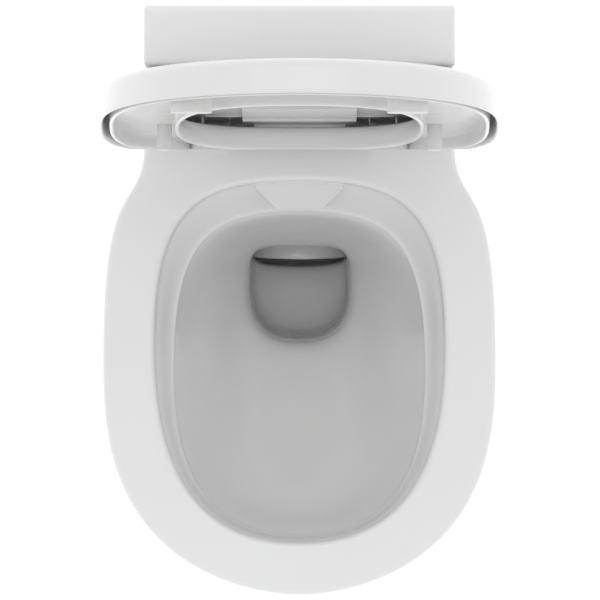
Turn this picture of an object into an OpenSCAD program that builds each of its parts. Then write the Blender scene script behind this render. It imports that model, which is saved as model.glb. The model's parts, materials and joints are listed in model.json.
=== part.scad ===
// Close coupled toilet: back-to-wall pan, slim raked cistern, soft-close seat and lid.
// Millimetres. X left/right, -Y front, +Z up, origin on the floor at the middle of the footprint.
// The seat and the lid are drawn closed and turned up to their rest position about the hinge.

/* [Pan] */
// Height of the rim top and of the rear deck above the floor
rim_z = 400; // [380:1:480]
// Widest part of the pan
pan_w = 370; // [340:1:400]
// Front of the pan to the wall
pan_len = 555; // [520:1:620]
// Width of the deck the cistern stands on
neck_w = 291; // [270:1:330]
// Thickness of the ceramic walls
wall = 10; // [8:1:14]
// Width of the foot on the floor
foot_w = 232; // [200:2:280]
// Width of the foot at the wall
foot_rear_w = 270; // [240:2:286]
// Front of the foot, behind the front of the pan
foot_back = 96; // [60:2:140]
// Middle of the two floor brackets, as a Y value
bracket_y = 20; // [0:1:30]

/* [Bowl] */
// Width of the opening inside the rim
open_w = 272.4; // [250:1:290]
// Width of the shelf that carries the flush water
ledge_w = 237; // [220:1:250]
// Radius of the trapway bore
trap_r = 40; // [36:1:42]
// Height of the middle of the waste outlet
outlet_z = 180; // [175:1:190]
// Outer radius of the waste outlet
outlet_r = 51; // [50:0.5:55]

/* [Cistern] */
// Underside of the cistern above the deck
cist_gap = 3; // [2:0.5:6]
// Front of the cistern at its underside
cist_front = 178; // [176:1:195]
// Distance the front leans back for each millimetre of height
rake = 0.115; // [0.09:0.005:0.13]
// Height of the cistern body
cist_h = 319; // [300:1:360]
// Thickness of the cistern lid
cover_t = 20; // [14:1:26]
// Width of the cistern lid
cover_w = 289; // [280:1:300]
// Thickness of the cistern walls
cist_wall = 8; // [7:0.5:10]
// Gap between the back of the cistern and the wall
back_gap = 4; // [0:0.5:6]

/* [Seat and lid] */
// Hinge axis in front of the wall, as a Y value
hinge_y = 151; // [145:1:160]
// Hinge axis above the deck
hinge_up = 28; // [22:1:32]
// Angle from closed to fully raised
open_angle = 97.8; // [92:0.1:102]
// Distance between the two hinge posts
post_gap = 155; // [130:1:170]
// Widest part of the lid
lid_w = 375; // [372:1:386]
// Gap from the lid outline to the seat outline
seat_in = 10.5; // [8:0.5:13]
// Width of the hole in the seat
hole_w = 224; // [210:1:240]
// Thickness of the seat
seat_t = 22; // [18:1:26]
// Thickness of the seat walls
lip_t = 4.5; // [4:0.5:6]

/* [Inside the cistern] */
// Middle of the flush valve in front of the wall, as a Y value
valve_y = 233; // [230:1:235]
// Middle of the side button in front of the wall, as a Y value
button_y = 240; // [239:1:241]
// Middle of the fill valve, as an X value
fill_x = -108; // [-112:1:-100]
// Middle of the fill valve, as a Y value
fill_y = 242; // [240:1:245]
// Droop of the float arm with the cistern empty
droop = 16; // [8:1:18]

/* [Hidden] */
e = 0.5;
ph = pan_len / 2;
pw = pan_w / 2;
nw = neck_w / 2;
fw = foot_w / 2;
rw = foot_rear_w / 2;
ow = open_w / 2;
kw = ledge_w / 2;
hw = hole_w / 2;
hinge_z = rim_z + hinge_up;
post_x = post_gap / 2;
cz = rim_z + cist_gap;
top_z = cz + cist_h;
cist_back = ph - back_gap;
button_z = top_z - 32;
tube_y = valve_y + 4;
seat_z = rim_z + 9.5;
skirt_z = rim_z + 10;
lid_z = rim_z + 44.6;
white = [0.95, 0.95, 0.94];
plastic = [0.97, 0.97, 0.96];
grey = [0.55, 0.57, 0.6];
rubber = [0.12, 0.12, 0.13];
metal = [0.72, 0.73, 0.75];

// ---- curves and skins -------------------------------------------------
function mix(a, b, t) = a * (1 - t) + b * t;
function bez(p, t) = len(p) == 1 ? p[0] :
  bez([for (i = [0:len(p) - 2]) mix(p[i], p[i + 1], t)], t);
function curve(p, n) = [for (i = [0:n - 1]) bez(p, i / n)];
function line(a, b, n) = [for (i = [0:n - 1]) mix(a, b, i / n)];
function both(h) = concat(h, [for (i = [len(h) - 2:-1:1]) [-h[i][0], h[i][1]]]);
function at(pts, z) = [for (p = pts) [p[0], p[1], z]];

// outer outline of the pan at the rim, drawn in by o
function rim_out(o) = concat(
  curve([[0, o - ph], [54, o - ph], [pw + 7.3 - o, 28.4 - ph + o], [pw - o, -123], [pw - o, -45]], 14),
  curve([[pw - o, -45], [pw - o, 132], [nw - o, 76], [nw - o, 152]], 10),
  line([nw - o, 152], [nw - o, ph - 6 - o], 3),
  line([nw - o, ph - 6 - o], [nw - 6 - o, ph - o], 2),
  line([nw - 6 - o, ph - o], [0, ph - o], 3), [[0, ph - o]]);
function foot_out(o) = let (f = foot_back - ph + o) concat(
  curve([[0, f], [60, f], [fw + 8 - o, f + 20], [fw - o, -112], [fw - o, -60]], 14),
  line([fw - o, -60], [fw - o, 40], 4),
  curve([[fw - o, 40], [fw - o, 95], [rw - o, 95], [rw - o, 152]], 6),
  line([rw - o, 152], [rw - o, ph - 6 - o], 3),
  line([rw - o, ph - 6 - o], [rw - 6 - o, ph - o], 2),
  line([rw - 6 - o, ph - o], [0, ph - o], 3), [[0, ph - o]]);
// skirt outline at a height: a soft S from the foot to the rim
function skirt_w(z) = z > 335 ? 0 : (1 + cos(180 * z / 335)) / 2;
function skirt(z, o) = let (a = rim_out(o), b = foot_out(o), w = skirt_w(z))
  both([for (i = [0:len(a) - 1]) mix(a[i], b[i], w)]);
// egg-shaped outline: half width, front, widest place, rear, squareness of the rear
function egg(w, f, m, r, q = 0) = both(concat(
  curve([[0, f], [w * 0.45, f], [w, mix(m, f, 0.86)], [w, m]], 14),
  curve([[w, m], [w, mix(m, r, mix(0.8, 1, q))], [w * mix(0.76, 1, q), r], [0, r]], 18), [[0, r]]));
// outline of the lid, drawn in by o, with a tab of half width t that reaches back to y
function shell(o, t, y, n = 3) = let (w = lid_w / 2 - o, f = o - ph - 1.5) both(concat(
  curve([[0, f], [55, f], [w + 8, f + 28], [w, -124], [w, -40]], 14),
  curve([[w, -40], [w, 60 - o], [w - 11, 104 - o], [118, 116 - o]], 12),
  line([118, 116 - o], [t, 120], 1), line([t, 120], [t, y - 8], 1),
  line([t, y - 8], [t - 7, y], 1), curve([[t - 7, y], [t / 2, y + 1.2], [0, y + 1.2]], n),
  [[0, y + 1.2]]));

// flat end of a skin, as strips across the mirror plane
function cap(n, k, flip) = [for (i = [0:n / 2 - 1]) for (s = [0, 1])
  let (q = [k + i, k + i + 1, k + n - i - 1, k + n - i],
    t = s == 0 ? [q[0], q[1], q[2]] : [q[0], q[2], q[3]])
  if (s == 0 && i < n / 2 - 1 || s == 1 && i > 0) flip ? [t[2], t[1], t[0]] : t];

// closed skin through rings of the same length; loop joins the last ring to the first
module skin(rings, loop = false) {
  n = len(rings[0]);
  m = len(rings);
  polyhedron(points = [for (r = rings) for (p = r) p],
    faces = concat(
      [for (k = [0:m - (loop ? 1 : 2)]) for (i = [0:n - 1]) for (s = [0, 1])
        let (a = k * n + i, b = k * n + (i + 1) % n, c = ((k + 1) % m) * n + i,
          d = ((k + 1) % m) * n + (i + 1) % n) s == 0 ? [a, b, c] : [b, d, c]],
      loop ? [] : concat(cap(n, 0, true), cap(n, (m - 1) * n, false))));
}
module ring(r1, r2, h) { difference() { cylinder(r = r1, h = h, $fn = 64);
  translate([0, 0, -e]) cylinder(r = r2, h = h + 2 * e, $fn = 64); } }
module sides() { children(); mirror([1, 0, 0]) children(); }
module along_x() { rotate([0, 90, 0]) children(); }
module raised() { translate([0, hinge_y, hinge_z]) rotate([-open_angle, 0, 0])
  translate([0, -hinge_y, -hinge_z]) children(); }

// ---- pan ---------------------------------------------------------------
// trapway in the plane x = 0: out of the sump, up over the weir, down to the outlet
up = 65;
down = 55;
bends = [62, 50, 52];
function dir(a) = [cos(a), sin(a)];
function left(a) = [-sin(a), cos(a)];
t0 = [38, 100];
c1 = t0 + bends[0] * left(0);
t1 = c1 - bends[0] * left(up);
t2 = t1 + 70.5 * dir(up);
c2 = t2 - bends[1] * left(up);
t3 = c2 + bends[1] * left(-down);
drop = t3[1] - outlet_z - bends[2] * (1 - cos(down));
t4 = t3 + drop / sin(down) * dir(-down);
c3 = t4 + bends[2] * left(-down);
function arc(c, big, a0, a1, n) = [for (k = [0:n]) let (a = mix(a0, a1, k / n))
  [c + big * dir(a), a + (a1 > a0 ? 90 : -90)]];
function way(first) = concat(arc(c1, bends[0], first, up - 90, 6),
  arc(c2, bends[1], 90 + up, 90 - down, 9), arc(c3, bends[2], -90 - down, -90, 5));
module trapway(r, first) {
  skin([for (s = way(first)) [for (k = [0:31]) let (a = 360 * k / 32, q = s[0] - r * cos(a) * left(s[1]))
    [r * sin(a), q[0], q[1]]]]);
}
module pan_skin() {
  skin([
    at(egg(32, 37, 42, 49, 1), 62), at(egg(42, 34.5, 42, 51, 1), 70),
    at(egg(43, 33.5, 41, 51, 1), 112), at(egg(44, 26, 38, 51, 1), 116),
    at(egg(44, -27, 14, 51, 0.8), 126), at(egg(46, -34, 13, 51, 0.8), 140),
    at(egg(47.5, -38, 12, 51, 0.8), 205),
    at(egg(52, -50, 5, 52, 0.7), 220), at(egg(64, -95, -20, 56, 0.4), 238),
    at(egg(80, -150, -45, 62, 0.2), 265), at(egg(97, -190, -65, 68), 294),
    at(egg(108, -208, -74, 73), 318), at(egg(kw - 2, -219, -75, 80), 342),
    at(egg(kw, -221.5, -70, 84), rim_z - 49), at(egg(kw + 2.5, -222.4, -66, 87.5), rim_z - 47),
    at(egg(ow - 1.5, -226.4, -46, 110.2), rim_z - 13), at(egg(ow, -227.4, -45, 112), rim_z - 7.5),
    at(egg(ow + 2.2, -229.6, -45, 114.2), rim_z - 2.2), at(egg(ow + 7.5, -235, -45, 119.5), rim_z),
    at(both(rim_out(5)), rim_z), at(both(rim_out(1.5)), rim_z - 1.5), at(both(rim_out(0)), rim_z - 5),
    at(skirt(365, 0), 365), at(skirt(320, 0), 320), at(skirt(280, 0), 280), at(skirt(235, 0), 235),
    at(skirt(190, 0), 190), at(skirt(145, 0), 145), at(skirt(100, 0), 100), at(skirt(50, 0), 50),
    at(skirt(0, 0), 0), at(skirt(0, wall), 0), at(skirt(50, wall), 50), at(skirt(100, wall), 100),
    at(skirt(145, wall), 145), at(skirt(190, wall), 190), at(skirt(235, wall), 235),
    at(skirt(280, wall), 280), at(skirt(320, wall), 320), at(both(rim_out(wall)), rim_z - 22),
    at(both(rim_out(wall + 8)), rim_z - 12), at(egg(ow + 14, -240, -45, 126), rim_z - 12),
    at(egg(ow + 10, -237, -46, 121), rim_z - 40), at(egg(ow, -233, -60, 116), rim_z - 58),
    at(egg(kw + 6, -229, -72, 93), 334), at(egg(120, -220, -75, 86), 312),
    at(egg(108, -201, -65, 80), 286), at(egg(92, -163, -45, 74), 254),
    at(egg(77, -110, -20, 68, 0.3), 230), at(egg(64, -63, 5, 64, 0.6), 208),
    at(egg(58, -49, 12, 62, 0.8), 192), at(egg(55, -43, 14, 61, 0.8), 122),
    at(egg(54, 15, 38, 61, 0.9), 100), at(egg(50, 21, 38, 59, 1), 62), at(egg(36, 28, 40, 54, 1), 48)]);
}
module pan() {
  color(white) difference() {
    union() {
      difference() {
        pan_skin();
        translate([-92, ph - 18, -e]) cube([184, 40, outlet_z + e]);
        translate([0, ph - 18, outlet_z]) rotate([-90, 0, 0]) cylinder(r = 92, h = 40, $fn = 64);
      }
      trapway(trap_r + 8, -86);
      translate([0, 254, outlet_z]) rotate([-90, 0, 0]) cylinder(r = outlet_r, h = 19, $fn = 64);
      translate([0, valve_y, rim_z - 38]) cylinder(r = 40, h = 30, $fn = 64);
      translate([-24, 108, rim_z - 38]) cube([48, valve_y - 108, 28]);
      translate([0, 0, rim_z - 38]) linear_extrude(26)
        polygon([[-41, 112], [-41, 105], [-21, 85.5], [21, 85.5], [41, 105], [41, 112]]);
    }
    trapway(trap_r, -90);
    translate([0, 252, outlet_z]) rotate([-90, 0, 0]) cylinder(r = trap_r + 0.6, h = 30, $fn = 48);
    translate([0, valve_y, rim_z - 18]) cylinder(r = 34, h = 18 + e, $fn = 64);
    translate([0, valve_y, rim_z - 34]) cylinder(r = 22, h = 22, $fn = 48);
    translate([-17, 80, rim_z - 34]) cube([34, valve_y - 80, 9]);
    sides() translate([post_x, hinge_y, rim_z - 20]) cylinder(r = 6, h = 30, $fn = 32);
    sides() translate([75, valve_y, rim_z - 20]) cylinder(r = 7, h = 30, $fn = 32);
    translate([fill_x, fill_y, rim_z - 20]) cylinder(r = 20, h = 30, $fn = 48);
    sides() translate([fw - 20, bracket_y, 32]) along_x() cylinder(r = 3.2, h = 40, $fn = 32);
    sides() translate([fw + 0.5, bracket_y, 32]) along_x() cylinder(r = 10, h = 20, $fn = 32);
  }
}
module floor_brackets() {
  color(metal) sides() difference() {
    union() {
      translate([fw - 56, bracket_y - 25, 0]) cube([45, 50, 4]);
      translate([fw - 15, bracket_y - 25, 0]) cube([4, 50, 48]);
    }
    for (y = [-14, 14]) translate([fw - 38, bracket_y + y, -e]) cylinder(r = 4, h = 10, $fn = 32);
    translate([fw - 20, bracket_y, 32]) along_x() cylinder(r = 2.5, h = 12, $fn = 32);
  }
}
module bracket_screws() {
  color(metal) sides() translate([0, bracket_y, 32]) along_x() {
    translate([0, 0, fw - 19]) cylinder(r = 2.5, h = 20, $fn = 32);
    translate([0, 0, fw + 0.5]) cylinder(r = 5, h = 2, $fn = 32);
  }
}
module screw_caps() {
  color(plastic) sides() translate([fw + 0.5, bracket_y, 32]) along_x() difference() {
    union() {
      cylinder(r = 8.5, h = 3.2, $fn = 48);
      translate([0, 0, 3.2]) cylinder(r1 = 8.5, r2 = 7, h = 1, $fn = 48);
    }
    translate([0, 0, -e]) cylinder(r = 5.6, h = 3 + e, $fn = 32);
  }
}

// ---- cistern -----------------------------------------------------------
// block with a flat back, rounded corners and a front that leans back from z0 to z1
module raked(z0, z1, w, front, back, r, lean = rake) {
  intersection() {
    translate([0, 0, z0]) linear_extrude(z1 - z0) union() {
      translate([r - w / 2, front - 30]) square([w - 2 * r, back - front + 30]);
      translate([-w / 2, front - 30]) square([w, back - front + 30 - r]);
      for (s = [-1, 1]) translate([s * (w / 2 - r), back - r]) circle(r = r, $fn = 32);
    }
    translate([-w / 2 - 1, 0, 0]) rotate([90, 0, 90]) linear_extrude(w + 2) polygon([
      [front + (z0 - cz) * lean, z0], [back + 1, z0], [back + 1, z1], [front + (z1 - cz) * lean, z1]]);
  }
}
module cistern_body() {
  color(white) difference() {
    raked(cz, top_z, cover_w - 3, cist_front, cist_back - 1.5, 4);
    raked(cz + 12, top_z + 10, cover_w - 3 - 2 * cist_wall, cist_front + cist_wall,
      cist_back - 1.5 - cist_wall, 5);
    translate([0, valve_y, cz - e]) cylinder(r = 23, h = 14, $fn = 48);
    sides() translate([75, valve_y, cz - e]) cylinder(r = 5.5, h = 14, $fn = 32);
    translate([fill_x, fill_y, cz - e]) cylinder(r = 11, h = 14, $fn = 32);
    translate([cover_w / 2 - 20, button_y, button_z]) along_x() cylinder(r = 16.3, h = 30, $fn = 48);
  }
}
module cistern_lid() {
  f = cist_front + (top_z - cz) * rake + 0.5;
  color(white) {
    difference() {
      raked(top_z, top_z + cover_t - 3, cover_w, f - (top_z - cz) * rake, cist_back, 4);
      raked(top_z - 1, top_z + cover_t - 9, cover_w - 26, f + 13 - (top_z - cz) * rake,
        cist_back - 13, 5);
    }
    translate([0, 0, top_z + cover_t - 3]) linear_extrude(1.8)
      translate([1.2 - cover_w / 2, f + 3]) square([cover_w - 2.4, cist_back - f - 4.2]);
    translate([0, 0, top_z + cover_t - 1.2]) linear_extrude(1.2)
      translate([3 - cover_w / 2, f + 4.6]) square([cover_w - 6, cist_back - f - 7.6]);
    for (y = [f + 13, cist_back - 17]) translate([-118, y, top_z - 7]) cube([236, 4, 12]);
  }
}
module cistern_pads() {
  color(rubber) sides() translate([110, 194, rim_z]) cube([26, 22, cist_gap]);
}
module coupling_gasket() {
  color(rubber) translate([0, valve_y, rim_z - 18]) ring(33, 20, 9);
}
module cistern_bolts() {
  color(metal) sides() translate([75, valve_y, 0]) {
    translate([0, 0, rim_z - 36]) cylinder(r = 4, h = cist_gap + 56, $fn = 32);
    translate([0, 0, cz + 16]) cylinder(r = 9, h = 5, $fn = 6);
  }
}
module cistern_washers() {
  color(rubber) sides() translate([75, valve_y, cz + 12]) ring(11, 4, 4);
}
module cistern_nuts() {
  color(metal) sides() translate([75, valve_y, rim_z - 14]) {
    ring(11, 4, 2);
    translate([0, 0, -12]) difference() {
      union() { cylinder(r = 8, h = 12, $fn = 32); translate([-15, -1.8, 0]) cube([30, 3.6, 9]); }
      translate([0, 0, -e]) cylinder(r = 4, h = 14, $fn = 32);
    }
  }
}

// ---- inside the cistern ------------------------------------------------
module flush_valve_body() {
  color(plastic) translate([0, valve_y, 0]) {
    difference() {
      union() {
        translate([0, 0, rim_z - 17]) cylinder(r = 20, h = cist_gap + 31, $fn = 48);
        translate([0, 0, cz + 14]) cylinder(r = 28, h = 6, $fn = 64);
      }
      translate([0, 0, rim_z - 20]) cylinder(r = 17, h = 60, $fn = 48);
    }
    translate([0, 0, cz + 19]) difference() {
      cylinder(r = 28, h = 62, $fn = 64);
      translate([0, 0, -e]) cylinder(r = 25.5, h = 57 + e, $fn = 64);
      translate([0, 0, 50]) cylinder(r = 12.4, h = 20, $fn = 48);
      for (a = [0, 90]) rotate([0, 0, a]) translate([-40, -12, 6]) cube([80, 24, 36]);
    }
    translate([0, 0, cz + 80]) ring(16, 12.4, 60);
    for (s = [-1, 1]) translate([s * 17.5 - 2.5, -4, cz + 80]) cube([5, 8, 149]);
    for (s = [-1, 1]) translate([s * 17 - 3, -4, cz + 120]) cube([6, 8, 10]);
  }
}
module flush_valve_washer() {
  color(rubber) translate([0, valve_y, cz + 12]) ring(27, 20, 2);
}
module flush_valve_nut() {
  color(plastic) translate([0, valve_y, rim_z - 9]) difference() {
    cylinder(r = 31, h = 9 + cist_gap - 0.4, $fn = 8);
    translate([0, 0, -e]) cylinder(r = 20, h = 14, $fn = 48);
  }
}
module overflow_tube() {
  color(plastic) translate([0, valve_y, 0]) {
    translate([0, 0, cz + 20.5]) ring(12, 9.6, 190);
    translate([0, 0, cz + 24.2]) ring(22, 9.6, 2.5);
    translate([-11, -2, cz + 200]) cube([22, 4, 10]);
    translate([0, 0, cz + 205]) cylinder(r = 3, h = 32, $fn = 32);
    translate([0, 0, cz + 234]) cylinder(r = 9.8, h = 4, $fn = 48);
  }
}
module valve_seal() {
  color(rubber) translate([0, valve_y, cz + 20.2]) ring(24, 12, 4);
}
module flush_actuator() {
  color(grey) translate([0, valve_y, cz + 229]) difference() {
    union() {
      cylinder(r = 13, h = 32, $fn = 48);
      translate([-20, -4, 0]) cube([40, 8, 6]);
      translate([0, 4, 31]) cylinder(r = 5, h = 6, $fn = 32);
    }
    translate([0, 0, 2]) cylinder(r = 10, h = 27, $fn = 48);
    translate([0, 0, -e]) cylinder(r = 3.2, h = 4, $fn = 32);
    translate([0, 4, 20]) cylinder(r = 3, h = 20, $fn = 32);
  }
}
module air_tube() {
  y = tube_y;
  z = button_z;
  color(rubber) {
    translate([0, y, cz + 260]) difference() { cylinder(r = 3, h = z - 10 - cz - 260, $fn = 32);
      translate([0, 0, -e]) cylinder(r = 1.8, h = z, $fn = 32); }
    translate([10, y, z - 10]) rotate([90, 0, 0]) rotate([0, 0, 90])
      rotate_extrude(angle = 90, $fn = 48) translate([10, 0]) difference() {
        circle(r = 3, $fn = 32); circle(r = 1.8, $fn = 32); }
    translate([10, y, z]) along_x() difference() { cylinder(r = 3, h = 101, $fn = 32);
      translate([0, 0, -e]) cylinder(r = 1.8, h = 110, $fn = 32); }
  }
}
module button_housing() {
  color(grey) translate([cover_w / 2 - 1.5, button_y, button_z]) along_x() difference() {
    union() {
      translate([0, 0, -34]) cylinder(r = 16, h = 33.6, $fn = 48);
      translate([0, tube_y - button_y, -38]) cylinder(r = 5, h = 5, $fn = 32);
    }
    translate([0, 0, -31]) cylinder(r = 14.05, h = 40, $fn = 48);
    translate([0, tube_y - button_y, -39]) cylinder(r = 3, h = 10, $fn = 32);
  }
}
module button_nut() {
  color(grey) translate([cover_w / 2 - 1.5 - cist_wall - 6, button_y, button_z])
    along_x() difference() {
      cylinder(r = 17.6, h = 6, $fn = 12);
      translate([0, 0, -e]) cylinder(r = 16, h = 8, $fn = 48);
    }
}
module flush_button() {
  color(metal) translate([cover_w / 2 - 1.5, button_y, button_z]) along_x() difference() {
    translate([0, 0, -20]) cylinder(r = 14, h = 20.4, $fn = 48);
    translate([0, 0, -21]) cylinder(r = 11.5, h = 17, $fn = 48);
  }
}
module fill_valve() {
  color(plastic) difference() {
    union() {
      translate([fill_x, fill_y, 0]) {
        translate([0, 0, rim_z - 30]) cylinder(r = 10.3, h = 22, $fn = 48);
        translate([0, 0, rim_z - 9]) cylinder(r = 10.5, h = cist_gap + 24, $fn = 48);
        translate([0, 0, cz + 14]) cylinder(r = 15, h = 5, $fn = 48);
        translate([0, 0, cz + 18]) cylinder(r = 8, h = 214, $fn = 48);
        translate([0, 0, cz + 229]) cylinder(r = 15, h = 36, $fn = 48);
      }
      translate([fill_x, fill_y - 11, cz + 252]) cube([26, 22, 13]);
      for (y = [-8.5, 4.5]) translate([fill_x + 13, fill_y + y, cz + 264]) cube([11, 4, 13]);
    }
    translate([fill_x, fill_y, rim_z - 31]) cylinder(r = 5, h = 280, $fn = 32);
    translate([fill_x + 8, fill_y, cz + 256]) cylinder(r = 2.05, h = 20, $fn = 32);
    translate([fill_x + 18, fill_y + 12, cz + 271]) rotate([90, 0, 0])
      cylinder(r = 2, h = 24, $fn = 32);
  }
}
module fill_valve_washer() {
  color(rubber) translate([fill_x, fill_y, cz + 12]) ring(14, 10.5, 2);
}
module fill_valve_nut() {
  color(plastic) translate([fill_x, fill_y, rim_z - 9]) difference() {
    cylinder(r = 17, h = 9 + cist_gap - 0.4, $fn = 6);
    translate([0, 0, -e]) cylinder(r = 10.5, h = 14, $fn = 48);
  }
}
module drooping() { translate([fill_x + 18, 0, cz + 271]) rotate([0, droop, 0])
  translate([-fill_x - 18, 0, -cz - 271]) children(); }
module float_arm() {
  color(grey) drooping() difference() {
    union() {
      translate([fill_x + 4, fill_y - 4, cz + 268]) cube([68, 8, 6]);
      translate([fill_x + 18, fill_y + 4, cz + 271]) rotate([90, 0, 0])
        cylinder(r = 4.5, h = 8, $fn = 48);
      translate([fill_x + 64, fill_y, cz + 226]) cylinder(r = 3, h = 45, $fn = 32);
    }
    translate([fill_x + 18, fill_y + 5, cz + 271]) rotate([90, 0, 0])
      cylinder(r = 2.05, h = 10, $fn = 32);
  }
}
module float() {
  color(plastic) drooping() translate([fill_x + 40, fill_y - 17, cz + 190]) difference() {
    cube([46, 34, 40]);
    translate([24, 17, 30]) cylinder(r = 3, h = 12, $fn = 32);
    translate([3, 3, -e]) cube([40, 28, 26]);
  }
}
module arm_pin() {
  color(metal) translate([fill_x + 18, fill_y + 10, cz + 271]) rotate([90, 0, 0])
    cylinder(r = 2, h = 20, $fn = 32);
}
module valve_plunger() {
  color(metal) translate([fill_x + 8, fill_y, cz + 259.6]) cylinder(r = 2, h = 10.6, $fn = 32);
}

// ---- seat and lid ------------------------------------------------------
// everything below the hinge side is cut back to one upright plane when raised
module trimmed() { difference() { raised() children();
  translate([-200, hinge_y - 110, rim_z - 20]) cube([400, 100, 120]); } }
module barrel(x, w, r) { translate([x, hinge_y, hinge_z]) along_x() cylinder(r = r, h = w, $fn = 48); }
module seat_ring() {
  z0 = seat_z;
  z1 = seat_z + seat_t;
  y = hinge_y - 11.5;
  color(plastic) difference() {
    trimmed() union() {
      skin([
        at(shell(seat_in + lip_t, 103, y - 8), z0), at(shell(seat_in + lip_t, 103, y - 8), z1 - 7),
        at(egg(hw + lip_t, -211.5, -55, 88), z1 - 7), at(egg(hw + lip_t, -211.5, -55, 88), z0 - 2),
        at(egg(hw, -207, -55, 84), z0 - 2), at(egg(hw, -207, -55, 84), z1 - 9),
        at(egg(hw + 3, -210, -55, 87), z1 - 2.5), at(egg(hw + 9, -216, -55, 92), z1),
        at(shell(seat_in + 7, 101, y - 3), z1), at(shell(seat_in + 2, 105, y), z1 - 2),
        at(shell(seat_in - 0.5, 106.8, y), z1 - 8), at(shell(seat_in, 106.8, y), z0)],
        loop = true);
      translate([0, 0, z0]) linear_extrude(seat_t - 2)
        polygon([[-96, 92], [96, 92], [103, y - 6], [-103, y - 6]]);
      sides() translate([91.5, y - 10, z0 + 8]) cube([15.3, 21.5, seat_t - 8]);
      sides() barrel(91.5, 15.3, 9.5);
    }
    sides() barrel(91, 18, 6.5);
  }
}
module seat_buffers() {
  low = rim_z + 0.6;
  high = seat_z + seat_t - 7;
  color(white) raised() sides() {
    translate([88, -219, low]) cube([24, 14, high - low]);
    for (x = [88, 112]) translate([x, -212, low]) cylinder(r = 7, h = high - low, $fn = 32);
    translate([126, 34, low]) cylinder(r = 7, h = high - low, $fn = 32);
  }
}
module seat_dampers() {
  color(grey) sides() difference() { barrel(91.5, 16.5, 6.5); barrel(91, 18, 3.05); }
}
module toilet_lid() {
  z1 = lid_z;
  y = hinge_y + 6;
  color(plastic) difference() {
    trimmed() difference() {
      union() {
        skin([
          at(shell(14, 104, y - 6), z1), at(shell(7, 108, y - 2), z1 - 1.6),
          at(shell(2.5, 111, y - 0.5), z1 - 5.5), at(shell(0.6, 112, y), z1 - 12),
          at(shell(0, 112, y), skirt_z + 4), at(shell(0.6, 112, y), skirt_z),
          at(shell(4.4, 109, y - 4), skirt_z), at(shell(5, 109, y - 4), skirt_z + 4),
          at(shell(5.6, 109, y - 4), z1 - 12), at(shell(9, 104, y - 8), z1 - 6),
          at(shell(15, 99, y - 14), z1 - 4.6)]);
        translate([-53.5, 8, z1 - 8.6]) cube([107, 88, 5]);
        translate([-53.5, 81, z1 - 9.8]) cube([107, 15, 5]);
        translate([-88, 81, z1 - 5.6]) cube([176, 2, 2]);
        sides() translate([43, hinge_y - 9, hinge_z]) cube([21.5, 14, 13.5]);
        sides() barrel(43, 21.5, 9.5);
      }
      sides() translate([65.25, hinge_y - 12, skirt_z - 3]) cube([43.5, 30, z1 - 0.4 - skirt_z]);
    }
    sides() barrel(42, 24, 6.5);
  }
}
module lid_buffers() {
  low = seat_z + seat_t + 0.4;
  color(white) raised() for (p = [[120, -205], [146, 20]]) sides()
    translate([p[0], p[1], low]) cylinder(r = 6, h = lid_z - 4.6 - low, $fn = 32);
}
module lid_dampers() {
  color(grey) sides() difference() { barrel(43, 21.5, 6.5); barrel(42, 24, 3.05); }
}
module hinge_posts() {
  color(metal) sides() difference() {
    union() {
      barrel(66, 24, 9.5);
      translate([post_x, hinge_y, rim_z + 3]) cylinder(r = 8, h = hinge_up - 3, $fn = 48);
      translate([post_x - 8, hinge_y - 9, rim_z]) cube([16, 18, 4]);
      for (s = [-8, 8]) translate([post_x + s, hinge_y, rim_z]) cylinder(r = 9, h = 4, $fn = 48);
    }
    barrel(65, 26, 3);
    translate([post_x, hinge_y, rim_z - e]) cylinder(r = 4, h = 13, $fn = 32);
  }
}
module hinge_pins() { color(metal) sides() barrel(43.5, 64, 3); }
module hinge_studs() {
  color(metal) sides() translate([post_x, hinge_y, rim_z - 44]) cylinder(r = 4, h = 56, $fn = 32);
}
module hinge_washers() {
  color(rubber) sides() translate([post_x, hinge_y, rim_z - 15]) ring(12, 4, 3);
}
module hinge_nuts() {
  color(plastic) sides() translate([post_x, hinge_y, rim_z - 27]) difference() {
    union() { cylinder(r = 8, h = 12, $fn = 32); translate([-16, -2, 0]) cube([32, 4, 10]); }
    translate([0, 0, -e]) cylinder(r = 4, h = 14, $fn = 32);
  }
}

pan();
floor_brackets();
bracket_screws();
screw_caps();
cistern_body();
cistern_lid();
cistern_pads();
coupling_gasket();
cistern_bolts();
cistern_washers();
cistern_nuts();
flush_valve_body();
flush_valve_washer();
flush_valve_nut();
overflow_tube();
valve_seal();
flush_actuator();
air_tube();
button_housing();
button_nut();
flush_button();
fill_valve();
fill_valve_washer();
fill_valve_nut();
float_arm();
float();
arm_pin();
valve_plunger();
seat_ring();
seat_buffers();
seat_dampers();
toilet_lid();
lid_buffers();
lid_dampers();
hinge_posts();
hinge_pins();
hinge_studs();
hinge_washers();
hinge_nuts();
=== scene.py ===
"""Looks of the close coupled toilet: high-resolution ceramic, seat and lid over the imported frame."""
import json
import math

import bmesh
import bpy
from mathutils import Matrix, Vector


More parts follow.
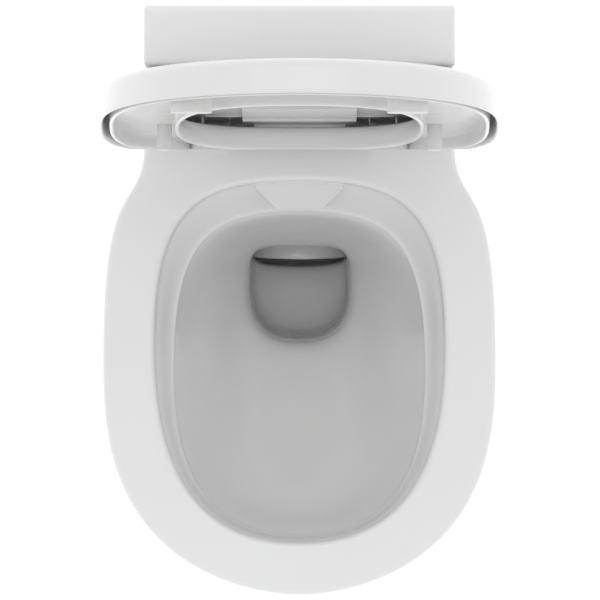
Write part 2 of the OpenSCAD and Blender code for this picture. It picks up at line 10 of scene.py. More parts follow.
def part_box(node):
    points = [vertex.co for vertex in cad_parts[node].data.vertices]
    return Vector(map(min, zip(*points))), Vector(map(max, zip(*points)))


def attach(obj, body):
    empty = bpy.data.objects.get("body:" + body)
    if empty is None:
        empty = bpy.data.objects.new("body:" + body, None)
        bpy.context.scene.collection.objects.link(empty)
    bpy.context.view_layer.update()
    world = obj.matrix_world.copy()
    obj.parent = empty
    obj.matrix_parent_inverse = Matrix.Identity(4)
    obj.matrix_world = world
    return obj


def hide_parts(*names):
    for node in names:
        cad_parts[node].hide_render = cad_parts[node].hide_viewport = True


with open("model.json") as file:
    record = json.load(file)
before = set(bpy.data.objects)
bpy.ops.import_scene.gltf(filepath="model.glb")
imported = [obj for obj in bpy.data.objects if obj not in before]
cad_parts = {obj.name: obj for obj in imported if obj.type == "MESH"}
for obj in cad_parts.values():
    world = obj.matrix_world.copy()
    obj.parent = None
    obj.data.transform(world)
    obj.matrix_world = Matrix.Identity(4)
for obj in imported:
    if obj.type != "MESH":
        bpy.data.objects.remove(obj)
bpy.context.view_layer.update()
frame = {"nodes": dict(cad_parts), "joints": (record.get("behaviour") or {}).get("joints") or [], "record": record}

MM = 0.001

# ---- sizes in millimetres, from the frame where it holds them -------------------
PAN_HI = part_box("pan")[1] / MM
BODY_LO, BODY_HI = (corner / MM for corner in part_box("cistern_body"))
COVER_LO, COVER_HI = (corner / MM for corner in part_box("cistern_lid"))
LID_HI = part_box("toilet_lid")[1] / MM
JOINTS = {joint["name"]: joint for joint in frame["joints"]}
HINGE = Vector(JOINTS["lid_hinge"]["pos_m"]) / MM
OPEN_ANGLE = -JOINTS["lid_hinge"]["range_deg"][0]

RIM_Z = PAN_HI.z
PAN_HALF = PAN_HI.x
BACK = PAN_HI.y
LID_HALF = LID_HI.x

# pan: half widths of its neck, opening, ledge and foot, how far the foot is set back in front,
# the height where the taper of the skirt begins, and the wall's thickness
NECK_HALF = 145.5
OPEN_HALF = 136.2
LEDGE_HALF = 118.5
FOOT_HALF = 116
FOOT_REAR_HALF = 135
FOOT_INSET = 96
SKIRT_TOP = 335
WALL = 10

# trapway, outlet, and the recess in the back for the pan connector
TRAP_R = 40
TRAP_WALL = 8
OUTLET_Z = 180
OUTLET_R = 51
OUTLET_Y = 254
OUTLET_LENGTH = 19
RECESS_HALF = 92
RECESS_DEPTH = 18

# fittings: flush valve, fill valve, side button, floor bracket, cistern bolts, hinge posts
VALVE_Y = 233
FILL = (-108, 242)
BUTTON_Y = 240
BUTTON_DROP = 32
BUTTON_R = 16.3
BRACKET_Y = 20
BRACKET_Z = 32
BOLT_X = 75
POST_X = 77.5

# cistern: how far it leans back per unit of height, its wall, and its corners
RAKE = 0.115
CISTERN_WALL = 8
CISTERN_FLOOR = 12
CORNER_R = 4
FRONT_CORNER_R = 3

# seat and lid, drawn closed
HOLE_HALF = 112
SEAT_GAP = 10.5
SEAT_LIP = 4.5
SEAT_LOW = RIM_Z + 9.5
SEAT_TOP = SEAT_LOW + 22
LID_TOP = RIM_Z + 44.6
SKIRT_LOW = RIM_Z + 10
LID_SKIN = 4.6
BARREL_R = 9.5
DAMPER_R = 6.5
TRIM_Y = HINGE.y - 10


# ---- curves ------------------------------------------------------------------
def mix(a, b, t):
    """The point, or the number, a share t of the way from a to b."""
    if isinstance(a, (int, float)):
        return a * (1 - t) + b * t
    return tuple(p * (1 - t) + q * t for p, q in zip(a, b))


def bez(points, t):
    """The point a share t of the way along a Bezier curve."""
    while len(points) > 1:
        points = [mix(a, b, t) for a, b in zip(points, points[1:])]
    return points[0]


def curve(points, n):
    """The first n points of a Bezier curve cut into n steps, without its end."""
    return [bez(points, i / n) for i in range(n)]


def line(a, b, n):
    """The first n points of a straight line cut into n steps, without its end."""
    return [mix(a, b, i / n) for i in range(n)]


def both(half):
    """A right half, from the front to the rear, closed with its mirror image."""
    return half + [(-x, y) for x, y in half[-2:0:-1]]


def at(points, z):
    """An outline put at a height."""
    return [(x, y, z) for x, y in points]


def rear(side, first, o):
    """The straight rear end of an outline, from its side at Y = first to the middle of the back."""
    back = BACK - o
    return (line((side, first), (side, back - 6), 3) + line((side, back - 6), (side - 6, back), 2)
            + line((side - 6, back), (0, back), 3) + [(0, back)])


def rim_out(o):
    """Outer outline of the pan at the rim, drawn in by o."""
    side, neck, front = PAN_HALF - o, NECK_HALF - o, o - BACK
    return (curve([(0, front), (54, front), (side + 7.3, front + 28.4), (side, -123), (side, -45)], 14)
            + curve([(side, -45), (side, 132), (neck, 76), (neck, 152)], 10) + rear(neck, 152, o))


def foot_out(o):
    """Outline of the foot on the floor, drawn in by o."""
    side, far, front = FOOT_HALF - o, FOOT_REAR_HALF - o, FOOT_INSET - BACK + o
    return (curve([(0, front), (60, front), (side + 8, front + 20), (side, -112), (side, -60)], 14)
            + line((side, -60), (side, 40), 4)
            + curve([(side, 40), (side, 95), (far, 95), (far, 152)], 6) + rear(far, 152, o))


def skirt(z, o):
    """Outer outline of the pan at a height: a soft S from the foot to the rim."""
    share = 0 if z > SKIRT_TOP else (1 + math.cos(math.pi * z / SKIRT_TOP)) / 2
    return at(both([mix(a, b, share) for a, b in zip(rim_out(o), foot_out(o))]), z)


def egg(w, front, mid, back, square=0):
    """Egg-shaped outline: half width, front, widest place, rear, squareness of the rear."""
    return both(
        curve([(0, front), (w * 0.45, front), (w, mix(mid, front, 0.86)), (w, mid)], 14)
        + curve([(w, mid), (w, mix(mid, back, mix(0.8, 1, square))), (w * mix(0.76, 1, square), back),
                 (0, back)], 18) + [(0, back)])


def shell(o, t, y):
    """Outline of the lid, drawn in by o, with a tab of half width t that reaches back to y."""
    w, front = LID_HALF - o, o - BACK - 1.5
    return both(
        curve([(0, front), (55, front), (w + 8, front + 28), (w, -124), (w, -40)], 14)
        + curve([(w, -40), (w, 60 - o), (w - 11, 104 - o), (118, 116 - o)], 12)
        + [(118, 116 - o), (t, 120), (t, y - 8)]
        + curve([(t - 7, y), (t / 2, y + 1.2), (0, y + 1.2)], 3) + [(0, y + 1.2)])


# ---- meshes ------------------------------------------------------------------
def new_piece(name, points, faces):
    """A mesh object from points in millimetres."""
    mesh = bpy.data.meshes.new(name)
    mesh.from_pydata([(x * MM, y * MM, z * MM) for x, y, z in points], [], faces)
    mesh.update()
    piece = bpy.data.objects.new(name, mesh)
    bpy.context.scene.collection.objects.link(piece)
    return piece


def turn_outward(mesh):
    """Makes the faces of a closed mesh face outward."""
    work = bmesh.new()
    work.from_mesh(mesh)
    bmesh.ops.recalc_face_normals(work, faces=work.faces)
    work.to_mesh(mesh)
    work.free()


def apply_modifiers(piece):
    """Puts the result of a piece's modifiers into its mesh."""
    shown = piece.evaluated_get(bpy.context.evaluated_depsgraph_get())
    mesh = bpy.data.meshes.new_from_object(shown)
    old = piece.data
    piece.modifiers.clear()
    piece.data = mesh
    bpy.data.meshes.remove(old)


def skin(name, rings, loop=False, level=2):
    """A closed skin through rings of the same length, smoothed; loop joins the last ring to the first."""
    n, m = len(rings[0]), len(rings)
    faces = []
    for k in range(m if loop else m - 1):
        here, there = k * n, (k + 1) % m * n
        for i in range(n):
            j = (i + 1) % n
            faces.append((here + i, here + j, there + j, there + i))
    if not loop:
        for base, flip in ((0, True), ((m - 1) * n, False)):
            for i in range(n // 2):
                corners = (base + i, base + i + 1, base + n - i - 1, base + (n - i) % n)
                strip = list(dict.fromkeys(corners))
                faces.append(strip[::-1] if flip else strip)
    piece = new_piece(name, [p for ring in rings for p in ring], faces)
    turn_outward(piece.data)
    if level:
        smooth = piece.modifiers.new("smooth", "SUBSURF")
        smooth.levels = smooth.render_levels = level
        apply_modifiers(piece)
    return piece


def rod(name, start, end, r, sides=64):
    """A closed cylinder between two points, for joining or cutting."""
    axis = Vector(end) - Vector(start)
    turn = axis.to_track_quat("Z", "Y")
    rings = []
    for share in (0, 1):
        for i in range(sides):
            a = 2 * math.pi * i / sides
            rings.append(Vector(start) + axis * share + turn @ Vector((r * math.cos(a), r * math.sin(a), 0)))
    faces = [(i, (i + 1) % sides, sides + (i + 1) % sides, sides + i) for i in range(sides)]
    faces += [tuple(range(sides))[::-1], tuple(range(sides, 2 * sides))]
    return new_piece(name, rings, faces)


def prism(name, outline, z0, z1):
    """A closed prism on an outline."""
    n = len(outline)
    faces = [(i, (i + 1) % n, n + (i + 1) % n, n + i) for i in range(n)]
    faces += [tuple(range(n))[::-1], tuple(range(n, 2 * n))]
    piece = new_piece(name, at(outline, z0) + at(outline, z1), faces)
    turn_outward(piece.data)
    return piece


def block(name, lo, hi):
    """A closed box between two corners."""
    return prism(name, [(lo[0], lo[1]), (hi[0], lo[1]), (hi[0], hi[1]), (lo[0], hi[1])], lo[2], hi[2])


def cut_or_join(piece, tools, operation):
    """Cuts the tools out of a piece, or joins them to it, and removes them."""
    for tool in tools:
        change = piece.modifiers.new("change", "BOOLEAN")
        change.operation = operation
        change.solver = "MANIFOLD"
        change.object = tool
    apply_modifiers(piece)
    for tool in tools:
        bpy.data.objects.remove(tool)


def shade(piece, degrees):
    """Smooth shading, with edges sharper than this left crisp."""
    piece.data.polygons.foreach_set("use_smooth", [True] * len(piece.data.polygons))
    piece.data.set_sharp_from_angle(angle=math.radians(degrees))


def finish_piece(piece, body, slot_name, *nodes, degrees=32):
    """Puts a piece on its body, in place of CAD nodes, with the look of its slot."""
    shade(piece, degrees)
    piece.data.materials.clear()
    piece.data.materials.append(LOOKS[slot_name])
    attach(piece, body)
    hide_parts(*nodes)


def sides(make):
    """The same thing on the right and on the left."""
    return [make(1), make(-1)]


def side_rods(start, end, r):
    """A rod and its mirror image, given from its inner or lower end on the right."""
    return sides(lambda s: rod("tool", (s * start[0], *start[1:]), (s * end[0], *end[1:]), r))


# ---- materials ---------------------------------------------------------------
class Look:
    """A procedural material: noise and bump in object space, feeding one Principled shader."""

    def __init__(self, name, **values):
        self.material = bpy.data.materials.new(name)
        self.material.use_nodes = True
        self.nodes = self.material.node_tree.nodes
        self.links = self.material.node_tree.links
        self.shader = self.nodes["Principled BSDF"]
        self.place = self.nodes.new("ShaderNodeTexCoord").outputs["Object"]
        self.last_bump = None
        for socket, value in values.items():
            self.shader.inputs[socket.replace("_", " ")].default_value = value

    def stretched(self, x, y, z):
        """Object coordinates scaled apart along the axes, for brushed or drawn marks."""
        mapping = self.nodes.new("ShaderNodeMapping")
        mapping.inputs["Scale"].default_value = (x, y, z)
        self.links.new(self.place, mapping.inputs["Vector"])
        return mapping.outputs["Vector"]

    def noise(self, scale, detail=3, roughness=0.5, place=None):
        """A noise value: features per metre, octaves, and how rough they are."""
        texture = self.nodes.new("ShaderNodeTexNoise")
        texture.inputs["Scale"].default_value = scale
        texture.inputs["Detail"].default_value = detail
        texture.inputs["Roughness"].default_value = roughness
        self.links.new(place or self.place, texture.inputs["Vector"])
        return texture.outputs["Fac"]

    def spread(self, value, low, high, to_low, to_high):
        """Maps a noise value between two bounds onto another range."""
        fit = self.nodes.new("ShaderNodeMapRange")
        bounds = {"From Min": low, "From Max": high, "To Min": to_low, "To Max": to_high}
        for socket, number in bounds.items():
            fit.inputs[socket].default_value = number
        self.links.new(value, fit.inputs["Value"])
        return fit.outputs["Result"]

    def colours(self, value, *stops):
        """Base colour from a ramp of (position, colour) stops."""
        ramp = self.nodes.new("ShaderNodeValToRGB")
        elements = ramp.color_ramp.elements
        while len(elements) < len(stops):
            elements.new(0.5)
        for element, (position, colour) in zip(elements, stops):
            element.position = position
            element.color = (*colour, 1)
        self.links.new(value, ramp.inputs["Fac"])
        self.links.new(ramp.outputs["Color"], self.shader.inputs["Base Color"])

    def roughness(self, value, low, high):
        """Roughness that wanders between two bounds."""
        self.links.new(self.spread(value, 0.3, 0.7, low, high), self.shader.inputs["Roughness"])

    def bump(self, value, strength, distance):
        """Adds a layer of fine relief to those already there."""
        bump = self.nodes.new("ShaderNodeBump")
        bump.inputs["Strength"].default_value = strength
        bump.inputs["Distance"].default_value = distance
        self.links.new(value, bump.inputs["Height"])
        if self.last_bump:
            self.links.new(self.last_bump, bump.inputs["Normal"])
        self.last_bump = bump.outputs["Normal"]
        self.links.new(self.last_bump, self.shader.inputs["Normal"])


def grey(value, warm=0.0):
    """A near-neutral colour, a little warm or cool."""
    return (value * (1 + warm), value, value * (1 - warm))


def glazed_ceramic():
    look = Look("glazed_ceramic", IOR=1.52, Coat_Weight=0.35, Coat_Roughness=0.04)
    look.colours(look.noise(5, 4), (0.3, grey(0.655, 0.004)), (0.7, grey(0.675, -0.004)))
    look.roughness(look.noise(24, 4), 0.09, 0.15)
    look.bump(look.noise(38, 2), 0.05, 0.0006)
    look.bump(look.noise(420, 2), 0.03, 0.0002)
    return look.material


def gloss_plastic():
    look = Look("gloss_plastic", IOR=1.5, Coat_Weight=0.15, Coat_Roughness=0.08)
    look.colours(look.noise(7, 3), (0.3, grey(0.625, -0.003)), (0.7, grey(0.645, 0.003)))
    look.roughness(look.noise(60, 4), 0.16, 0.24)
    look.bump(look.noise(70, 2), 0.04, 0.0004)
    look.bump(look.noise(900, 2), 0.05, 0.0001)
    return look.material


def moulded_plastic():
    look = Look("moulded_plastic", IOR=1.48)
    look.colours(look.noise(12, 4), (0.3, grey(0.72, 0.02)), (0.7, grey(0.78, 0.015)))
    look.roughness(look.noise(80, 4), 0.38, 0.52)
    look.bump(look.noise(1400, 3), 0.15, 0.0001)
    look.bump(look.noise(90, 2, place=look.stretched(1, 1, 0.15)), 0.06, 0.0003)
    return look.material


def grey_plastic():
    look = Look("grey_plastic", IOR=1.48)
    look.colours(look.noise(14, 4), (0.3, grey(0.22, -0.02)), (0.7, grey(0.27, -0.015)))
    look.roughness(look.noise(90, 4), 0.42, 0.58)
    look.bump(look.noise(1500, 3), 0.2, 0.0001)
    return look.material


def rubber():
    look = Look("rubber", IOR=1.45)
    look.colours(look.noise(60, 5, 0.7), (0.25, grey(0.028, 0.01)), (0.75, grey(0.045, 0.01)))
    look.roughness(look.noise(70, 4), 0.55, 0.75)
    look.bump(look.noise(1100, 4, 0.7), 0.25, 0.00012)
    return look.material


def white_rubber():
    look = Look("white_rubber", IOR=1.45)
    look.colours(look.noise(50, 4, 0.6), (0.25, grey(0.62, 0.006)), (0.75, grey(0.68, 0.006)))
    look.roughness(look.noise(70, 4), 0.42, 0.58)
    look.bump(look.noise(900, 3, 0.6), 0.15, 0.0001)
    return look.material


def brushed_steel():
    look = Look("brushed_steel", Metallic=1.0)
    grain = look.noise(260, 3, place=look.stretched(1, 1, 0.04))
    look.colours(grain, (0.25, grey(0.5)), (0.75, grey(0.62)))
    look.roughness(grain, 0.24, 0.42)
    look.bump(grain, 0.12, 0.0001)
    return look.material


def chrome():
    look = Look("chrome", Metallic=1.0)
    look.colours(look.noise(18, 4), (0.3, grey(0.72, -0.01)), (0.7, grey(0.8, -0.005)))
    look.roughness(look.noise(40, 5, 0.6), 0.05, 0.14)
    look.bump(look.noise(30, 2), 0.03, 0.0003)
    return look.material


LOOKS = {
    "ceramic": glazed_ceramic(),
    "gloss_plastic": gloss_plastic(),
    "moulded_plastic": moulded_plastic(),
    "grey_plastic": grey_plastic(),
    "rubber": rubber(),
    "white_rubber": white_rubber(),
    "steel": brushed_steel(),
    "bright_metal": chrome(),
}


def dress_cad_nodes():
    """Gives every carried-over CAD node the look of its slot."""
    for part in frame["record"]["subparts"]:
        node = frame["nodes"][part["node"]]
        for holder in node.material_slots:
            holder.material = LOOKS[part["material_slot"]]


# ---- pan ---------------------------------------------------------------------
def pan_rings():
    """From the floor of the sump, up the bowl, over the rim, down the skirt, and back up inside."""
    lip = RIM_Z
    rings = [
        at(egg(32, 37, 42, 49, 1), 62), at(egg(42, 34.5, 42, 51, 1), 70),
        at(egg(43, 33.5, 41, 51, 1), 100), at(egg(43, 33, 41, 51, 1), 111),
        at(egg(43.5, 31, 40, 51, 1), 115), at(egg(44, 22, 36, 51, 1), 117.5),
        at(egg(44, -24, 14, 51, 0.8), 125), at(egg(45.2, -31, 14, 51, 0.8), 131),
        at(egg(46, -34, 13, 51, 0.8), 142), at(egg(47, -37, 12, 51, 0.8), 190),
        at(egg(48, -39.5, 12, 51, 0.8), 207),
        at(egg(52, -50, 5, 52, 0.7), 220), at(egg(64, -95, -20, 56, 0.4), 238),
        at(egg(80, -150, -45, 62, 0.2), 265), at(egg(97, -190, -65, 68), 294),
        at(egg(108, -208, -74, 73), 318), at(egg(LEDGE_HALF - 2, -219, -75, 80), 342),
        at(egg(LEDGE_HALF - 0.4, -220.9, -70.5, 83.2), lip - 51.5),
        at(egg(LEDGE_HALF, -221.5, -70, 84), lip - 49),
        at(egg(LEDGE_HALF + 1.2, -221.9, -68, 86), lip - 47.8),
        at(egg(LEDGE_HALF + 2.7, -222.5, -66, 87.8), lip - 46.6),
        at(egg(LEDGE_HALF + 6.2, -223.4, -61.5, 92.6), lip - 39.5),
        at(egg(OPEN_HALF - 5, -225.4, -50, 105.4), lip - 20),
        at(egg(OPEN_HALF - 1.7, -226.3, -46.2, 110), lip - 13),
        at(egg(OPEN_HALF - 0.4, -227.1, -45.2, 111.6), lip - 9),
        at(egg(OPEN_HALF, -227.4, -45, 112), lip - 6.5),
        at(egg(OPEN_HALF + 0.6, -228, -45, 112.6), lip - 4),
        at(egg(OPEN_HALF + 2.2, -229.6, -45, 114.2), lip - 1.3),
        at(egg(OPEN_HALF + 4.8, -232.2, -45, 116.8), lip - 0.1),
        at(egg(OPEN_HALF + 7.5, -235, -45, 119.5), lip)]
    rings += [at(both(rim_out(o)), z) for o, z in (
        (7.5, lip), (5, lip - 0.1), (2.6, lip - 0.9), (0.9, lip - 2.6), (0.1, lip - 5), (0, lip - 8))]
    heights = (365, 320, 280, 235, 190, 145, 100, 50)
    rings += [skirt(z, 0) for z in heights]
    rings += [skirt(12, 0), skirt(3, 0.2), skirt(0, 1.6), skirt(0, WALL - 1), skirt(3, WALL)]
    rings += [skirt(z, WALL) for z in heights[:0:-1]]
    rings += [
        at(both(rim_out(WALL)), lip - 22), at(both(rim_out(WALL + 8)), lip - 12),
        at(egg(OPEN_HALF + 14, -240, -45, 126), lip - 12),
        at(egg(OPEN_HALF + 10, -237, -46, 121), lip - 40),
        at(egg(OPEN_HALF, -233, -60, 116), lip - 58), at(egg(LEDGE_HALF + 6, -229, -72, 93), 334),
        at(egg(120, -220, -75, 86), 312), at(egg(108, -201, -65, 80), 286),
        at(egg(92, -163, -45, 74), 254), at(egg(77, -110, -20, 68, 0.3), 230),
        at(egg(64, -63, 5, 64, 0.6), 208), at(egg(58, -49, 12, 62, 0.8), 192),
        at(egg(55, -43, 14, 61, 0.8), 122), at(egg(54, 15, 38, 61, 0.9), 100),
        at(egg(50, 21, 38, 59, 1), 62), at(egg(36, 28, 40, 54, 1), 48)]
    return rings


def heading(degrees):
    """Unit vector in the plane X = 0, at an angle up from +Y."""
    return Vector((0, math.cos(math.radians(degrees)), math.sin(math.radians(degrees))))


def leftwards(degrees):
    """Unit vector square to a heading, on its upper side."""
    return heading(degrees + 90)


def trapway_route(first):
    """Places and headings along the trapway: out of the sump, over the weir, down to the outlet."""
    up, down = 65, 55
    bends = (62, 50, 52)
    climb = 70.5
    mouth = Vector((0, 38, 100))
    centre_1 = mouth + bends[0] * leftwards(0)
    start_2 = centre_1 - bends[0] * leftwards(up) + climb * heading(up)
    centre_2 = start_2 - bends[1] * leftwards(up)
    end_2 = centre_2 + bends[1] * leftwards(-down)
    drop = end_2.z - OUTLET_Z - bends[2] * (1 - math.cos(math.radians(down)))
    end_3 = end_2 + drop / math.sin(math.radians(down)) * heading(-down)
    centre_3 = end_3 + bends[2] * leftwards(-down)
    route = []
    for centre, r, a0, a1, n in ((centre_1, bends[0], first, up - 90, 10),
                                 (centre_2, bends[1], 90 + up, 90 - down, 16),
                                 (centre_3, bends[2], -90 - down, -90, 8)):
        turn = 90 if a1 > a0 else -90
        for k in range(n + 1):
            a = mix(a0, a1, k / n)
            route.append((centre + r * heading(a), a + turn))
    return route


def trapway(name, r, first, steps=48):
    """The trapway as a bent round bar, for joining or cutting, from an angle of its first bend on."""
    rings = []
    for place, way in trapway_route(first):
        ring = []
        for k in range(steps):
            a = 2 * math.pi * k / steps
            point = place - r * math.cos(a) * leftwards(way)
            ring.append((r * math.sin(a), point.y, point.z))
        rings.append(ring)
    return skin(name, rings, level=0)


def build_pan():
    pan = skin("pan_ceramic", pan_rings())
    recess_y = BACK - RECESS_DEPTH
    recess_end = recess_y + 40
    cut_or_join(pan, [
        block("tool", (-RECESS_HALF, recess_y, -5), (RECESS_HALF, recess_end, OUTLET_Z)),
        rod("tool", (0, recess_y, OUTLET_Z), (0, recess_end, OUTLET_Z), RECESS_HALF)], "DIFFERENCE")

    inlet_low, duct_low, above_rim = RIM_Z - 38, RIM_Z - 34, RIM_Z + 5
    spout = both([(0, 85.5), (21, 85.5), (41, 105), (41, 116), (0, 116)])
    cut_or_join(pan, [
        trapway("tool", TRAP_R + TRAP_WALL, -86),
        rod("tool", (0, OUTLET_Y, OUTLET_Z), (0, OUTLET_Y + OUTLET_LENGTH, OUTLET_Z), OUTLET_R),
        rod("tool", (0, VALVE_Y, inlet_low), (0, VALVE_Y, RIM_Z - 8), 40),
        block("tool", (-24, 108, inlet_low), (24, VALVE_Y, RIM_Z - 10)),
        prism("tool", spout, inlet_low, RIM_Z - 12)], "UNION")

    deck_low = RIM_Z - 20
    holes = [
        trapway("tool", TRAP_R, -90),
        rod("tool", (0, OUTLET_Y - 2, OUTLET_Z), (0, OUTLET_Y + 36, OUTLET_Z), TRAP_R + 0.6),
        rod("tool", (0, VALVE_Y, RIM_Z - 18), (0, VALVE_Y, above_rim), 34),
        rod("tool", (0, VALVE_Y, duct_low), (0, VALVE_Y, RIM_Z - 12), 22),
        block("tool", (-17, 80, duct_low), (17, VALVE_Y, duct_low + 9)),
        rod("tool", (*FILL, deck_low), (*FILL, above_rim), 20)]
    holes += side_rods((POST_X, HINGE.y, deck_low), (POST_X, HINGE.y, above_rim), 6)
    holes += side_rods((BOLT_X, VALVE_Y, deck_low), (BOLT_X, VALVE_Y, above_rim), 7)
    holes += side_rods((FOOT_HALF - 20, BRACKET_Y, BRACKET_Z), (FOOT_HALF + 24, BRACKET_Y, BRACKET_Z), 3.2)
    holes += side_rods((FOOT_HALF + 0.5, BRACKET_Y, BRACKET_Z), (FOOT_HALF + 24, BRACKET_Y, BRACKET_Z), 10)
    cut_or_join(pan, holes, "DIFFERENCE")
    finish_piece(pan, "pan", "ceramic", "pan", degrees=55)


# ---- cistern -----------------------------------------------------------------
def arc(centre, r, first, last, n):
    """Points along an arc in plan, ends included, with angles in degrees from +X."""
    angles = [math.radians(mix(first, last, k / n)) for k in range(n + 1)]
    return [(centre[0] + r * math.cos(a), centre[1] + r * math.sin(a)) for a in angles]


def box_outline(x, front, back, r):
    """Outline of a box of half width x, with tight front corners and rear corners of radius r."""
    tight = FRONT_CORNER_R
    return both(
        [(0, front), (x * 0.5, front), (x - tight - 1, front)]
        + arc((x - tight, front + tight), tight, -90, 0, 3)
        + [(x, front + tight + 1), (x, (front + back) / 2), (x, back - r - 1)]
        + arc((x - r, back - r), r, 0, 90, 6)
        + [(x - r - 1, back), (x * 0.5, back), (0, back)])


def body_ring(z, o):
    """Outline of the cistern body at a height, drawn in by o."""
    front = BODY_LO.y + (z - BODY_LO.z) * RAKE
    return at(box_outline(BODY_HI.x - o, front + o, BODY_HI.y - o, max(CORNER_R - o, 2)), z)


def build_cistern_body():
    z0, z1 = BODY_LO.z, BODY_HI.z
    wall = CISTERN_WALL
    floor = z0 + CISTERN_FLOOR
    levels = [mix(z0, z1, k / 6) for k in range(1, 6)]
    outside = [(z0, 4), (z0, 2.2), (z0 + 0.5, 0.8), (z0 + 1.6, 0.1), (z0 + 4, 0)]
    outside += [(z, 0) for z in levels]
    top = [(z1 - 4, 0), (z1 - 1, 0.1), (z1, 1), (z1, wall - 1), (z1 - 1, wall - 0.1), (z1 - 4, wall)]
    inside = [(z, wall) for z in reversed(levels)]
    inside += [(floor + 6, wall), (floor + 1, wall + 2), (floor, wall + 6), (floor, wall + 12)]
    body = skin("cistern_ceramic", [body_ring(z, o) for z, o in outside + top + inside])

    low, high, button_z = z0 - 5, floor + 4, z1 - BUTTON_DROP
    holes = [rod("tool", (0, VALVE_Y, low), (0, VALVE_Y, high), 23),
             rod("tool", (*FILL, low), (*FILL, high), 11),
             rod("tool", (125, BUTTON_Y, button_z), (160, BUTTON_Y, button_z), BUTTON_R)]
    holes += side_rods((BOLT_X, VALVE_Y, low), (BOLT_X, VALVE_Y, high), 5.5)
    cut_or_join(body, holes, "DIFFERENCE")
    finish_piece(body, "pan", "ceramic", "cistern_body")


def cover_ring(z, o):
    """Outline of the cistern lid at a height, drawn in by o."""
    front = COVER_LO.y + max(z - BODY_HI.z, 0) * RAKE
    return at(box_outline(COVER_HI.x - o, front + o, COVER_HI.y - o, max(CORNER_R - o, 2)), z)


def build_cistern_lid():
    z0, z1 = BODY_HI.z, COVER_HI.z
    under = [(z1 - 10, 40), (z1 - 10, 18), (z1 - 10.6, 14.4), (z1 - 12, 13.2), (z0 + 1, 13)]
    edge = [(z0, 12), (z0, 10), (z0, 2), (z0 + 0.5, 0.5), (z0 + 1.5, 0), (z0 + 4, 0)]
    top = [(z1 - 6, 0), (z1 - 3.4, 0.15), (z1 - 1.6, 1.0), (z1 - 0.5, 2.6), (z1 - 0.1, 4.6),
           (z1, 8), (z1, 16), (z1, 24)]
    cover = skin("cistern_cover_ceramic", [cover_ring(z, o) for z, o in under + edge + top])
    ribs = [block("tool", (-118, y, z0 - 7), (118, y + 4, z1 - 8))
            for y in (COVER_LO.y + 13.6, COVER_HI.y - 17)]
    cut_or_join(cover, ribs, "UNION")
    finish_piece(cover, "cistern_cover", "ceramic", "cistern_lid")


# ---- seat and lid ------------------------------------------------------------
def raise_and_trim(piece):
    """Turns a closed seat or lid up about the hinge, and cuts its rear edge to one upright plane."""
    centre = HINGE * MM
    piece.data.transform(Matrix.Translation(centre) @ Matrix.Rotation(math.radians(-OPEN_ANGLE), 4, "X")
                         @ Matrix.Translation(-centre))
    work = bmesh.new()
    work.from_mesh(piece.data)
    cut = bmesh.ops.bisect_plane(work, geom=work.verts[:] + work.edges[:] + work.faces[:], dist=1e-6,
                                 plane_co=(0, TRIM_Y * MM, 0), plane_no=(0, -1, 0), clear_outer=True)
    rim = [edge for edge in cut["geom_cut"] if isinstance(edge, bmesh.types.BMEdge)]
    bmesh.ops.holes_fill(work, edges=rim, sides=0)
    bmesh.ops.triangulate(work, faces=[f for f in work.faces if len(f.verts) > 4])
    bmesh.ops.recalc_face_normals(work, faces=work.faces)
    work.to_mesh(piece.data)
    work.free()


def side_blocks(x0, x1, low, high):
    """A box and its mirror image, from x0 to x1 on the right, between two corners in the plane X = 0."""
    return sides(lambda s: block("tool", (min(s * x0, s * x1), *low), (max(s * x0, s * x1), *high)))


def hinge_rods(x0, x1, r):
    """A rod along the hinge line and its mirror image."""
    return side_rods((x0, HINGE.y, HINGE.z), (x1, HINGE.y, HINGE.z), r)


def build_seat():
    z0, z1 = SEAT_LOW, SEAT_TOP
    y = HINGE.y - 11.5
    gap, lip = SEAT_GAP, SEAT_LIP
    arm_in, arm_out = 91.5, 106.8
    rings = [
        at(shell(gap + lip, 103, y - 8), z0 + 1), at(shell(gap + lip, 103, y - 8), z1 - 9),
        at(shell(gap + lip + 2, 103, y - 9), z1 - 7.3), at(shell(gap + lip + 5, 102, y - 11), z1 - 7),
        at(egg(HOLE_HALF + lip + 5, -216.5, -55, 93), z1 - 7),
        at(egg(HOLE_HALF + lip + 1.5, -213, -55, 89.5), z1 - 7.6),
        at(egg(HOLE_HALF + lip, -211.5, -55, 88), z1 - 10), at(egg(HOLE_HALF + lip, -211.5, -55, 88), z0),
        at(egg(HOLE_HALF + lip - 0.8, -210.7, -55, 87.2), z0 - 1.6),
        at(egg(HOLE_HALF + lip / 2, -209.2, -55, 86), z0 - 2),
        at(egg(HOLE_HALF + 0.8, -207.8, -55, 84.8), z0 - 1.6),
        at(egg(HOLE_HALF, -207, -55, 84), z0), at(egg(HOLE_HALF, -207, -55, 84), z1 - 9),
        at(egg(HOLE_HALF + 3, -210, -55, 87), z1 - 2.5), at(egg(HOLE_HALF + 9, -216, -55, 92), z1),
        at(shell(gap + 12, 97, y - 7), z1), at(shell(gap + 7, 101, y - 3), z1 - 0.4),
        at(shell(gap + 2, 105, y), z1 - 2.6), at(shell(gap - 0.3, arm_out, y), z1 - 8),
        at(shell(gap, arm_out, y), z0 + 3), at(shell(gap + 0.3, arm_out, y), z0 + 0.6),
        at(shell(gap + 1.2, 106, y - 1), z0), at(shell(gap + lip - 1.2, 104, y - 7), z0)]
    seat = skin("seat", rings, loop=True)
    joins = [prism("tool", [(-96, 92), (96, 92), (103, y - 6), (-103, y - 6)], z0, z1 - 2)]
    joins += side_blocks(arm_in, arm_out, (y - 10, z0 + 8), (HINGE.y, z1))
    joins += hinge_rods(arm_in, arm_out, BARREL_R)
    cut_or_join(seat, joins, "UNION")
    raise_and_trim(seat)
    cut_or_join(seat, hinge_rods(arm_in - 0.5, 109, DAMPER_R), "DIFFERENCE")
    finish_piece(seat, "seat", "gloss_plastic", "seat_ring")


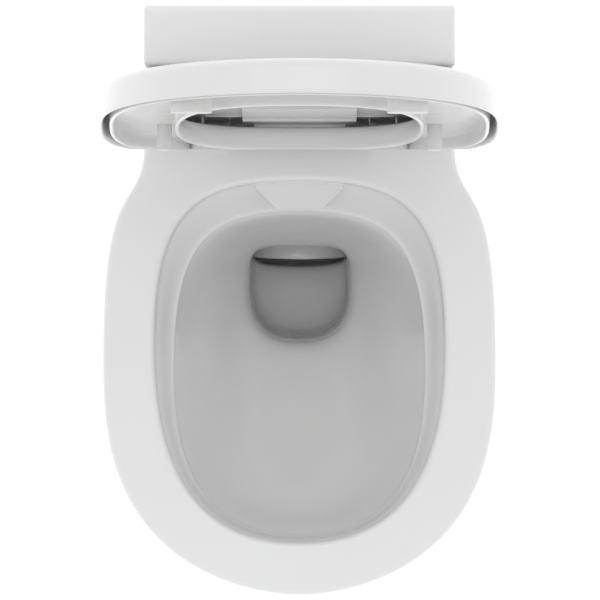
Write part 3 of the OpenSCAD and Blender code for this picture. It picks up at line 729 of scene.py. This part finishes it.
def build_lid():
    z1, low = LID_TOP, SKIRT_LOW
    y = HINGE.y + 6
    arm_in, arm_out = 43, 64.5
    slot_in, slot_out = 65.25, 108.75
    rings = [
        at(shell(50, 90, y - 30), z1), at(shell(24, 98, y - 14), z1),
        at(shell(14, 104, y - 6), z1), at(shell(7, 108, y - 2), z1 - 1.6),
        at(shell(2.5, 111, y - 0.5), z1 - 5.5), at(shell(0.6, 112, y), z1 - 12),
        at(shell(0, 112, y), low + 8), at(shell(0, 112, y), low + 2),
        at(shell(0.7, 112, y - 0.3), low + 0.3), at(shell(2.2, 110.5, y - 2), low),
        at(shell(3.7, 109.4, y - 3.6), low + 0.4),
        at(shell(4.9, 109, y - 4), low + 3), at(shell(5.3, 109, y - 4), low + 10),
        at(shell(5.6, 109, y - 4), z1 - 12), at(shell(9, 104, y - 8), z1 - 6),
        at(shell(15, 99, y - 14), z1 - LID_SKIN), at(shell(24, 94, y - 24), z1 - LID_SKIN)]
    lid = skin("lid", rings)
    joins = [block("tool", (-53.5, 8, z1 - 8.6), (53.5, 96, z1 - 3.6)),
             block("tool", (-53, 81, z1 - 9.8), (53, 95.5, z1 - 4.8)),
             block("tool", (-88, 81, z1 - 5.6), (88, 83, z1 - 3.8))]
    joins += side_blocks(arm_in, arm_out, (HINGE.y - 9, HINGE.z), (HINGE.y + 5, HINGE.z + 13.5))
    joins += hinge_rods(arm_in, arm_out, BARREL_R)
    cut_or_join(lid, joins, "UNION")
    slots = side_blocks(slot_in, slot_out, (HINGE.y - 12, low - 3), (HINGE.y + 18, z1 - 3.4))
    cut_or_join(lid, slots, "DIFFERENCE")
    raise_and_trim(lid)
    cut_or_join(lid, hinge_rods(arm_in - 1, arm_out + 1.5, DAMPER_R), "DIFFERENCE")
    finish_piece(lid, "lid", "gloss_plastic", "toilet_lid")


# ---- scene -------------------------------------------------------------------
def floor_look():
    look = Look("pale_floor", Specular_IOR_Level=0.0)
    look.colours(look.noise(2, 3), (0.3, grey(0.94)), (0.7, grey(0.96)))
    look.roughness(look.noise(5, 3), 0.9, 1.0)
    look.shader.inputs["Emission Color"].default_value = (1, 1, 1, 1)
    look.shader.inputs["Emission Strength"].default_value = 0.35
    return look.material


def build_floor():
    reach = 90000
    level = -1
    corners = [(-reach, -reach, level), (reach, -reach, level), (reach, reach, level), (-reach, reach, level)]
    floor = new_piece("floor", corners, [(0, 1, 2, 3)])
    floor.data.materials.append(floor_look())


def area_light(name, place, aim, size, power):
    """A soft lamp at a place, turned to an aim, both in metres."""
    lamp = bpy.data.lights.new(name, "AREA")
    lamp.shape = "RECTANGLE"
    lamp.size, lamp.size_y = size
    lamp.energy = power
    holder = bpy.data.objects.new(name, lamp)
    holder.location = place
    holder.rotation_euler = (Vector(aim) - Vector(place)).to_track_quat("-Z", "Y").to_euler()
    bpy.context.scene.collection.objects.link(holder)


def build_lights():
    world = bpy.data.worlds.new("studio")
    bpy.context.scene.world = world
    world.use_nodes = True
    background = world.node_tree.nodes["Background"]
    background.inputs["Color"].default_value = (1, 1, 1, 1)
    background.inputs["Strength"].default_value = 1.09
    aim = (0, 0, 0.3)
    area_light("top_rear", (0.0, 1.2, 3.0), aim, (2.4, 1.6), 6)
    area_light("front_fill", (0.0, -2.2, 2.4), aim, (2.0, 1.2), 2)


def build_camera():
    """A long lens straight above, which takes in half_frame metres on each side at rim height."""
    camera = bpy.data.objects.new("camera", bpy.data.cameras.new("camera"))
    camera.data.sensor_width = 36
    camera.data.lens = 1650
    half_frame = 0.2816
    distance = half_frame / (camera.data.sensor_width / 2 / camera.data.lens)
    camera.location = (0.0005, 0.0001, RIM_Z * MM + distance)
    camera.data.clip_end = 100
    bpy.context.scene.collection.objects.link(camera)
    bpy.context.scene.camera = camera


bpy.context.scene.view_settings.view_transform = "Standard"
dress_cad_nodes()
build_pan()
build_cistern_body()
build_cistern_lid()
build_seat()
build_lid()
build_floor()
build_lights()
build_camera()
